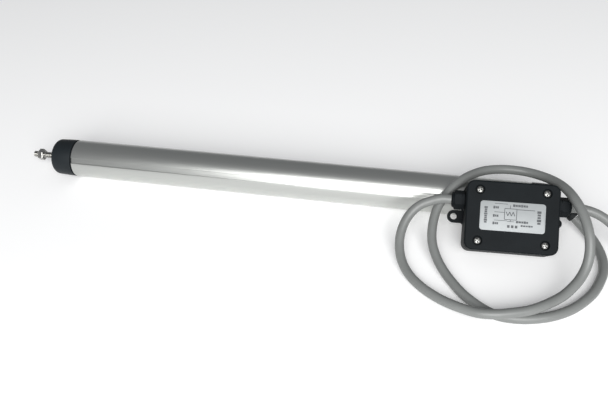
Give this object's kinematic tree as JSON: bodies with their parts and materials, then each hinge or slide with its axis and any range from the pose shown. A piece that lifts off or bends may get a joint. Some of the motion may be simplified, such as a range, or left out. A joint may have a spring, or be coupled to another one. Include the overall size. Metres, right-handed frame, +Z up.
{
  "type": "linear actuator",
  "caption": "Tubular electric linear actuator with a threaded rod end, wired by a looped cable to a small control box that has its own supply cable.",
  "frame": {"origin": "on the table, below the middle of the bounding box of the actuator and its control box, without the cables", "axes": "+X along the tube towards its rear cap, so the push rod extends towards -X; +Z up; the control box leans on the -Y side"},
  "size_m": [0.6804, 0.1498, 0.0612],
  "materials": {
    "anodised": "satin anodised",
    "black_plastic": "fine moulded texture",
    "white_plastic": "moulded",
    "stainless": "bright",
    "steel": "ground",
    "bronze": "sintered",
    "copper": "enamelled wire",
    "rubber": "matt",
    "ferrite": "sintered",
    "carbon": "sintered carbon",
    "board": "glass-fibre board",
    "label": "printed foil",
    "cable_pvc": "satin",
    "wire_brown": "satin",
    "wire_blue": "satin"
  },
  "bodies": {
    "housing": {"outer_tube": "anodised", "front_cap": "black_plastic", "rear_cap": "black_plastic", "box_base": "black_plastic", "box_lid": "black_plastic", "gland_left": "black_plastic", "gland_right": "black_plastic", "motor_end_cap": "black_plastic", "coil_tie": "black_plastic", "terminal_block": "white_plastic", "lid_screw_1": "stainless", "lid_screw_2": "stainless", "lid_screw_3": "stainless", "lid_screw_4": "stainless", "bearing_housing": "steel", "bearing_outer_race": "steel", "bearing_retaining_ring": "steel", "ring_gear": "steel", "motor_can": "steel", "guide_bush": "bronze", "motor_front_bush": "bronze", "motor_rear_bush": "bronze", "front_cap_seal": "rubber", "rear_cap_seal": "rubber", "wiper_seal": "rubber", "cable_boot": "rubber", "lid_gasket": "rubber", "magnet_upper": "ferrite", "magnet_lower": "ferrite", "brush_front": "carbon", "brush_rear": "carbon", "circuit_board": "board", "label_plate": "label", "actuator_cable": "cable_pvc", "supply_cable": "cable_pvc", "supply_coil": "cable_pvc", "supply_wire_brown": "wire_brown", "supply_wire_blue": "wire_blue"},
    "rod": {"push_tube": "stainless", "rod_end_plug": "stainless", "threaded_stud": "stainless", "hex_nut": "stainless", "nut_carrier": "white_plastic", "lead_nut": "bronze"},
    "screw": {"lead_screw": "steel", "screw_tip_guide": "white_plastic", "planet_carrier": "steel", "planet_pin_1": "steel", "planet_pin_2": "steel", "planet_pin_3": "steel", "bearing_inner_race": "steel"},
    "bearing_cage": {"ball_cage": "bronze"},
    "planet_1": {"planet_gear_1": "bronze"},
    "planet_2": {"planet_gear_2": "bronze"},
    "planet_3": {"planet_gear_3": "bronze"},
    "rotor": {"motor_shaft": "steel", "sun_gear": "steel", "armature_core": "steel", "armature_winding": "copper", "commutator": "copper"}
  },
  "joints": [
    {"name": "rod_slide", "type": "slide", "parent": "housing", "child": "rod", "axis": [-1, 0, 0], "range_m": [0, 0.25]},
    {"name": "screw_spin", "type": "hinge", "parent": "housing", "child": "screw", "pos_m": [0.10074, 0.0266, 0.018], "axis": [1, 0, 0], "range_deg": [-5, 22505]},
    {"name": "planet_1_spin", "type": "hinge", "parent": "screw", "child": "planet_1", "pos_m": [0.12134, 0.03452, 0.018], "axis": [1, 0, 0], "range_deg": [-67505, 5]},
    {"name": "planet_2_spin", "type": "hinge", "parent": "screw", "child": "planet_2", "pos_m": [0.12134, 0.02264, 0.02486], "axis": [1, 0, 0], "range_deg": [-67505, 5]},
    {"name": "planet_3_spin", "type": "hinge", "parent": "screw", "child": "planet_3", "pos_m": [0.12134, 0.02264, 0.01114], "axis": [1, 0, 0], "range_deg": [-67505, 5]},
    {"name": "motor_spin", "type": "hinge", "parent": "housing", "child": "rotor", "pos_m": [0.16124, 0.0266, 0.018], "axis": [1, 0, 0], "range_deg": [-10, 90010]},
    {"name": "cage_spin", "type": "hinge", "parent": "housing", "child": "bearing_cage", "pos_m": [0.10074, 0.0266, 0.018], "axis": [1, 0, 0], "range_deg": [-5, 8480]}
  ],
  "couplings": [
    {"joint": "screw_spin", "follows": "rod_slide", "rad_per_m": 1570.8},
    {"joint": "planet_1_spin", "follows": "rod_slide", "rad_per_m": -4712.4},
    {"joint": "planet_2_spin", "follows": "rod_slide", "rad_per_m": -4712.4},
    {"joint": "planet_3_spin", "follows": "rod_slide", "rad_per_m": -4712.4},
    {"joint": "motor_spin", "follows": "rod_slide", "rad_per_m": 6283.2},
    {"joint": "cage_spin", "follows": "rod_slide", "rad_per_m": 591.67}
  ]
}
